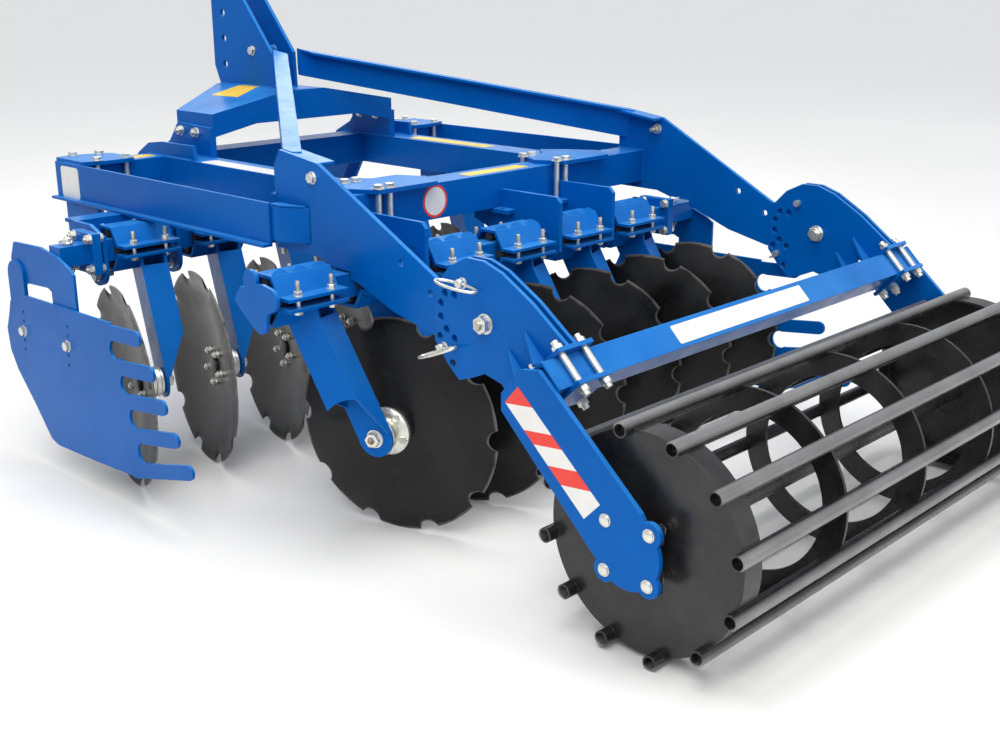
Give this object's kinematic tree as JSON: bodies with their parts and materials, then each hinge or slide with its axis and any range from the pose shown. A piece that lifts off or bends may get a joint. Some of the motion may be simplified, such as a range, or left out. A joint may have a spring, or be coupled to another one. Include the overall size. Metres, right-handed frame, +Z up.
{
  "type": "compact disc harrow",
  "caption": "Mounted compact disc harrow: notched discs on rubber-sprung arms under a welded frame, with comb side shields, a hitch headstock and a trailing cage roller.",
  "frame": {"origin": "centre of the machine's bounding box, on the floor", "axes": "+X in the direction of travel, +Y to the machine's left, +Z up"},
  "size_m": [2.7224, 1.864, 1.35],
  "materials": {
    "frame_blue": "gloss",
    "disc_black": "satin",
    "roller_black": "matte",
    "zinc": "satin",
    "rubber": "matte"
  },
  "bodies": {
    "main_frame": {"front_cross_tube": "frame_blue", "rear_cross_tube": "frame_blue", "long_tube_left": "frame_blue", "long_tube_right": "frame_blue", "mast": "frame_blue", "headstock_bridge": "frame_blue", "hitch_bracket_left": "frame_blue", "hitch_bracket_right": "frame_blue", "brace_left": "frame_blue", "brace_right": "frame_blue", "side_plate_left": "frame_blue", "side_plate_right": "frame_blue", "side_rail_left": "frame_blue", "side_rail_right": "frame_blue", "front_beam": "frame_blue", "rear_beam": "frame_blue", "front_hangers": "frame_blue", "rear_hangers": "frame_blue", "front_clamps": "frame_blue", "rear_clamps": "frame_blue", "front_arms": "frame_blue", "rear_arms": "frame_blue", "front_rubbers": "rubber", "rear_rubbers": "rubber", "comb_shield_left": "frame_blue", "comb_bracket_left": "frame_blue", "comb_shield_right": "frame_blue", "comb_bracket_right": "frame_blue"},
    "roller_frame": {"sector_left": "frame_blue", "sector_right": "frame_blue", "roller_cross_tube": "frame_blue", "tube_clamps": "zinc", "end_arm_left": "frame_blue", "end_arm_right": "frame_blue", "bearings": "zinc", "depth_pins": "zinc"},
    "roller": {"roller_cage": "roller_black"},
    "disc_front_1": {"disc_front_1": "disc_black"},
    "disc_front_2": {"disc_front_2": "disc_black"},
    "disc_front_3": {"disc_front_3": "disc_black"},
    "disc_front_4": {"disc_front_4": "disc_black"},
    "disc_front_5": {"disc_front_5": "disc_black"},
    "disc_front_6": {"disc_front_6": "disc_black"},
    "disc_rear_1": {"disc_rear_1": "disc_black"},
    "disc_rear_2": {"disc_rear_2": "disc_black"},
    "disc_rear_3": {"disc_rear_3": "disc_black"},
    "disc_rear_4": {"disc_rear_4": "disc_black"},
    "disc_rear_5": {"disc_rear_5": "disc_black"},
    "disc_rear_6": {"disc_rear_6": "disc_black"}
  },
  "joints": [
    {"name": "roller_frame_hinge", "type": "hinge", "parent": "main_frame", "child": "roller_frame", "pos_m": [-0.62577, -0.128, 0.628], "axis": [0, -1, 0], "range_deg": [0, 2]},
    {"name": "roller_turn", "type": "hinge", "parent": "roller_frame", "child": "roller", "pos_m": [-1.10177, -0.128, 0.25946], "axis": [0, 1, 0], "continuous": true},
    {"name": "disc_front_1_turn", "type": "hinge", "parent": "main_frame", "child": "disc_front_1", "pos_m": [0.50176, 0.717, 0.28], "axis": [0.2419, 0.9703, 0], "continuous": true},
    {"name": "disc_front_2_turn", "type": "hinge", "parent": "main_frame", "child": "disc_front_2", "pos_m": [0.50176, 0.467, 0.28], "axis": [0.2419, 0.9703, 0], "continuous": true},
    {"name": "disc_front_3_turn", "type": "hinge", "parent": "main_frame", "child": "disc_front_3", "pos_m": [0.50176, 0.217, 0.28], "axis": [0.2419, 0.9703, 0], "continuous": true},
    {"name": "disc_front_4_turn", "type": "hinge", "parent": "main_frame", "child": "disc_front_4", "pos_m": [0.50176, -0.033, 0.28], "axis": [0.2419, 0.9703, 0], "continuous": true},
    {"name": "disc_front_5_turn", "type": "hinge", "parent": "main_frame", "child": "disc_front_5", "pos_m": [0.50176, -0.283, 0.28], "axis": [0.2419, 0.9703, 0], "continuous": true},
    {"name": "disc_front_6_turn", "type": "hinge", "parent": "main_frame", "child": "disc_front_6", "pos_m": [0.50176, -0.533, 0.28], "axis": [0.2419, 0.9703, 0], "continuous": true},
    {"name": "disc_rear_1_turn", "type": "hinge", "parent": "main_frame", "child": "disc_rear_1", "pos_m": [-0.29567, 0.66752, 0.28], "axis": [0.309, -0.9511, 0], "continuous": true},
    {"name": "disc_rear_2_turn", "type": "hinge", "parent": "main_frame", "child": "disc_rear_2", "pos_m": [-0.29567, 0.41752, 0.28], "axis": [0.309, -0.9511, 0], "continuous": true},
    {"name": "disc_rear_3_turn", "type": "hinge", "parent": "main_frame", "child": "disc_rear_3", "pos_m": [-0.29567, 0.16752, 0.28], "axis": [0.309, -0.9511, 0], "continuous": true},
    {"name": "disc_rear_4_turn", "type": "hinge", "parent": "main_frame", "child": "disc_rear_4", "pos_m": [-0.29567, -0.08248, 0.28], "axis": [0.309, -0.9511, 0], "continuous": true},
    {"name": "disc_rear_5_turn", "type": "hinge", "parent": "main_frame", "child": "disc_rear_5", "pos_m": [-0.29567, -0.33248, 0.28], "axis": [0.309, -0.9511, 0], "continuous": true},
    {"name": "disc_rear_6_turn", "type": "hinge", "parent": "main_frame", "child": "disc_rear_6", "pos_m": [-0.29567, -0.58248, 0.28], "axis": [0.309, -0.9511, 0], "continuous": true}
  ]
}
